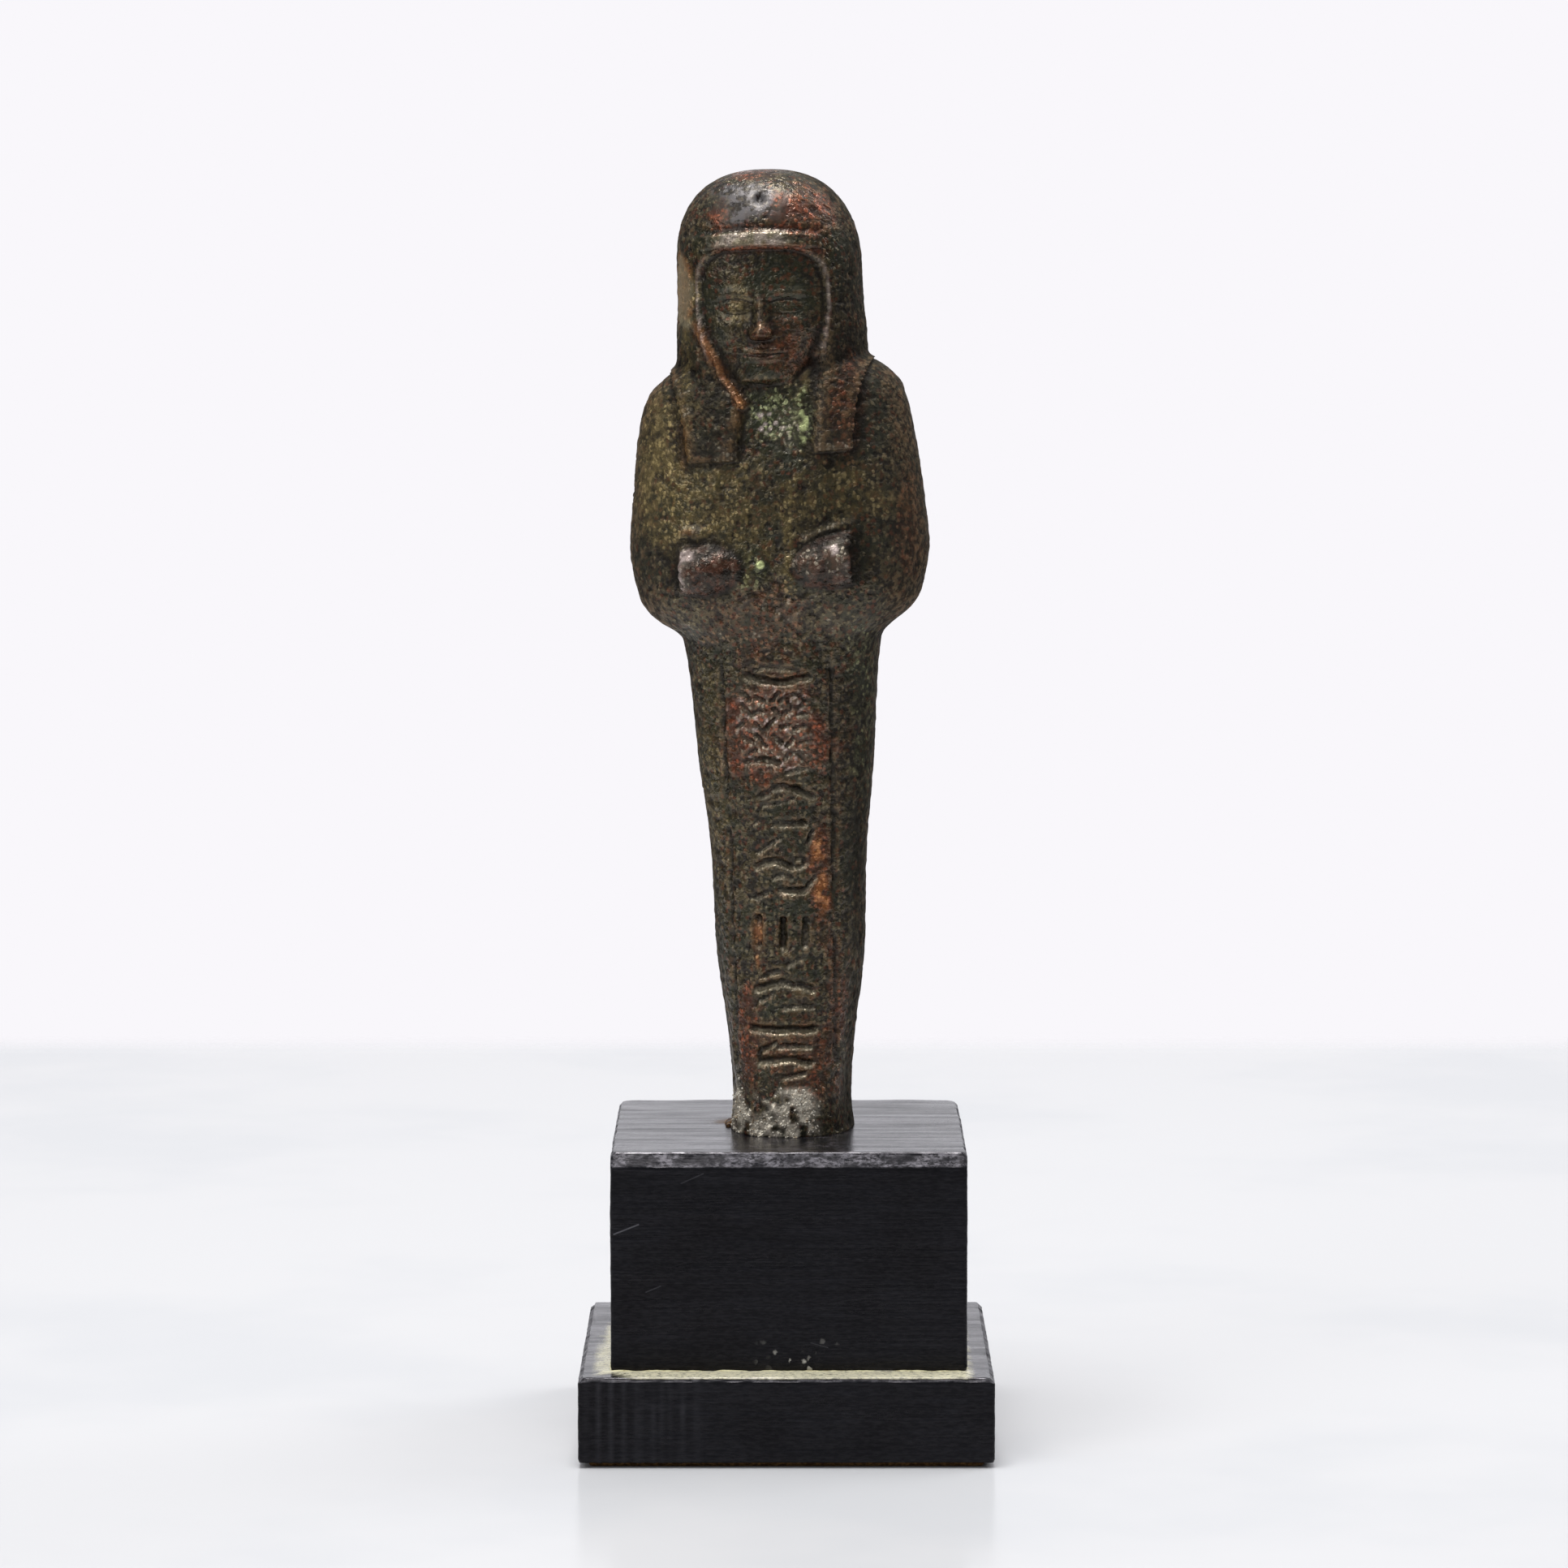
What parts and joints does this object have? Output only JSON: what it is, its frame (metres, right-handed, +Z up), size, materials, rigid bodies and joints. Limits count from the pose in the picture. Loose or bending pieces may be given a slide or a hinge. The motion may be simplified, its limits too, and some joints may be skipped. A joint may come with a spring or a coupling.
{
  "type": "ushabti figurine",
  "caption": "Small cast-bronze servant figure of the mummy shape, broken off at the ankles, on a stepped stand of black wood.",
  "frame": {"origin": "middle of the underside of the pad, on the surface that it stands on", "axes": "+Z up, the figure looks along -Y, +X is its left hand's side"},
  "size_m": [0.034, 0.034, 0.1054],
  "materials": {
    "bronze": "dark olive-brown patina, pitted, half gloss",
    "black_wood": "black stain and wax, satin",
    "felt": "matt"
  },
  "bodies": {
    "root": {"figurine": "bronze", "stand_block": "black_wood", "stand_slab": "black_wood", "base_pad": "felt"}
  },
  "joints": []
}
